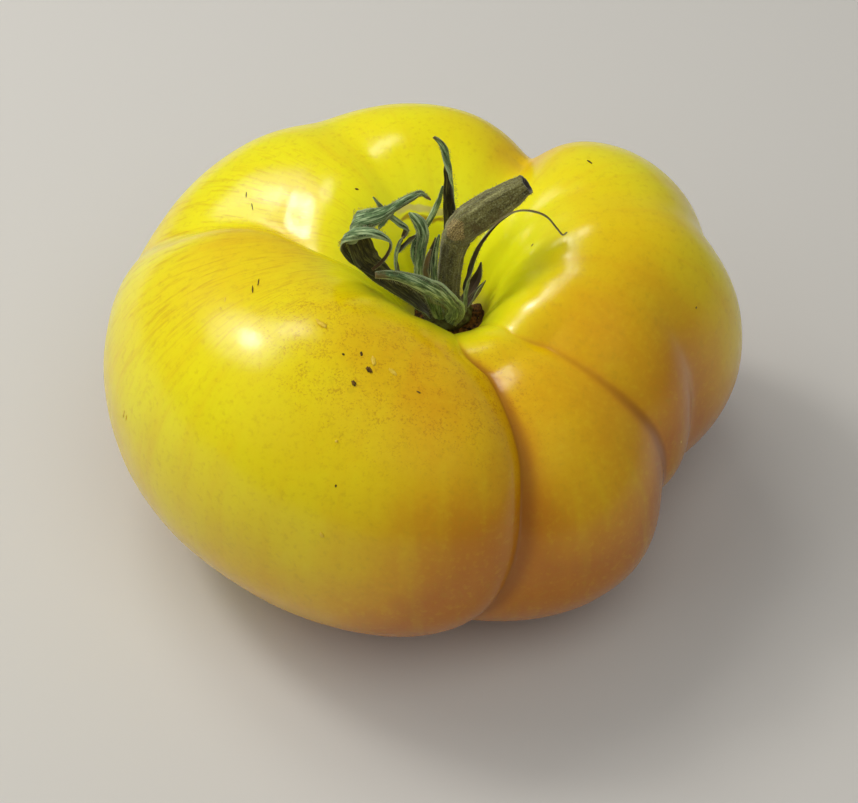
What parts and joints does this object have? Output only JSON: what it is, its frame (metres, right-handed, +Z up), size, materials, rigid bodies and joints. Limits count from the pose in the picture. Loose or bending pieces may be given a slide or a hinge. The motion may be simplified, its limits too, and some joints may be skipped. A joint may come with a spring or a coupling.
{
  "type": "tomato",
  "caption": "Ripe yellow beefsteak tomato with uneven deep ribs, a sunken stem end, dried curled sepals and a short bent length of cut stem; it rests on its blossom end.",
  "frame": {"origin": "middle of the flat spot that the fruit rests on, straight below the middle of the stem cavity", "axes": "+Z up from the resting spot to the stem end, +X along the fruit's longest width, towards the side that the cut stem bends to; the side with the deepest crease faces -Y"},
  "size_m": [0.1219, 0.1115, 0.0767],
  "materials": {
    "skin": "smooth waxy skin with a soft gloss, golden yellow with fine orange-brown stippling",
    "sepal": "dry, veined and dusty grey-green, with brown tips and dark inner faces",
    "stalk": "matt, finely hairy olive green, with a pale tan scar at the bend and a dark cut end"
  },
  "bodies": {
    "root": {"fruit": "skin", "calyx": "sepal", "stem": "stalk"}
  },
  "joints": []
}
